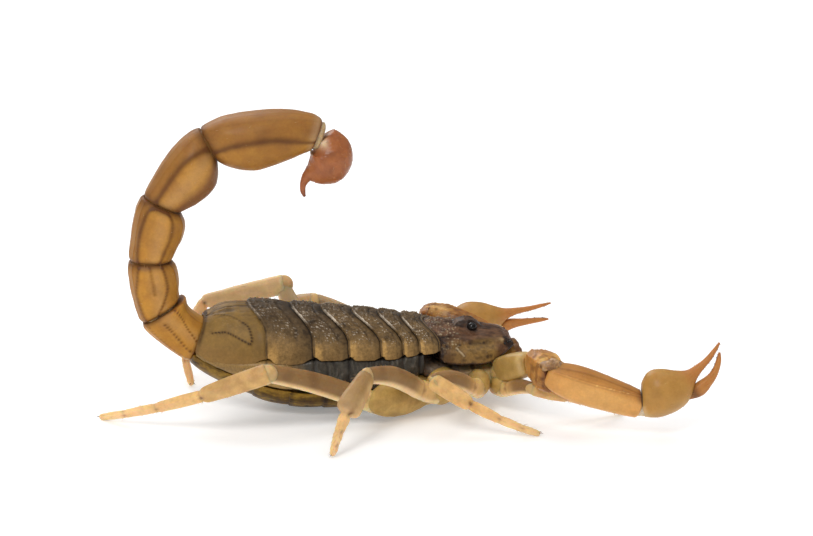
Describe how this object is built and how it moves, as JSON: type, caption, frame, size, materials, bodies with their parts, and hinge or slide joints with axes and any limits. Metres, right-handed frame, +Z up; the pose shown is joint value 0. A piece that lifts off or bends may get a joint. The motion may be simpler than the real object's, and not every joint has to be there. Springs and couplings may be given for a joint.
{
  "type": "desert scorpion",
  "caption": "Life-size still model of a desert scorpion with raised tail, jointed-looking legs and pincers resting on the floor.",
  "frame": {"origin": "on the floor below the middle of the bounding box", "axes": "+X forward, out of the head along the body; +Y to the animal's left; +Z up"},
  "size_m": [0.0604, 0.0348, 0.0305],
  "materials": {
    "back": "horny, finely granular, satin",
    "belly": "smooth horny skin, satin",
    "pleura": "soft wrinkled skin, dull",
    "tail": "amber horny skin, satin",
    "venom": "smooth red-brown horny skin, satin",
    "leg": "pale translucent horny skin, satin",
    "arm": "orange-tan horny skin, satin",
    "eye": "glossy black lens"
  },
  "bodies": {
    "root": {"carapace": "back", "chelicera_left": "arm", "chelicera_right": "arm", "eye_median_left": "eye", "eye_median_right": "eye", "genital_plate": "belly", "leg_left_1_lower": "leg", "leg_left_1_upper": "leg", "leg_left_2_lower": "leg", "leg_left_2_upper": "leg", "leg_left_3_lower": "leg", "leg_left_3_upper": "leg", "leg_left_4_lower": "leg", "leg_left_4_upper": "leg", "leg_right_1_lower": "leg", "leg_right_1_upper": "leg", "leg_right_2_lower": "leg", "leg_right_2_upper": "leg", "leg_right_3_lower": "leg", "leg_right_3_upper": "leg", "leg_right_4_lower": "leg", "leg_right_4_upper": "leg", "metasoma_1": "tail", "metasoma_2": "tail", "metasoma_3": "tail", "metasoma_4": "tail", "metasoma_5": "tail", "pecten_left": "belly", "pecten_right": "belly", "pedipalp_left_femur": "arm", "pedipalp_left_finger": "arm", "pedipalp_left_hand": "arm", "pedipalp_left_patella": "arm", "pedipalp_left_trochanter": "arm", "pedipalp_right_femur": "arm", "pedipalp_right_finger": "arm", "pedipalp_right_hand": "arm", "pedipalp_right_patella": "arm", "pedipalp_right_trochanter": "arm", "pleura": "pleura", "prosoma": "belly", "sternite_3": "belly", "sternite_4": "belly", "sternite_5": "belly", "sternite_6": "belly", "sternite_7": "belly", "sternum": "belly", "telson_aculeus": "venom", "telson_vesicle": "venom", "tergite_1": "back", "tergite_2": "back", "tergite_3": "back", "tergite_4": "back", "tergite_5": "back", "tergite_6": "back", "tergite_7": "back"}
  },
  "joints": []
}
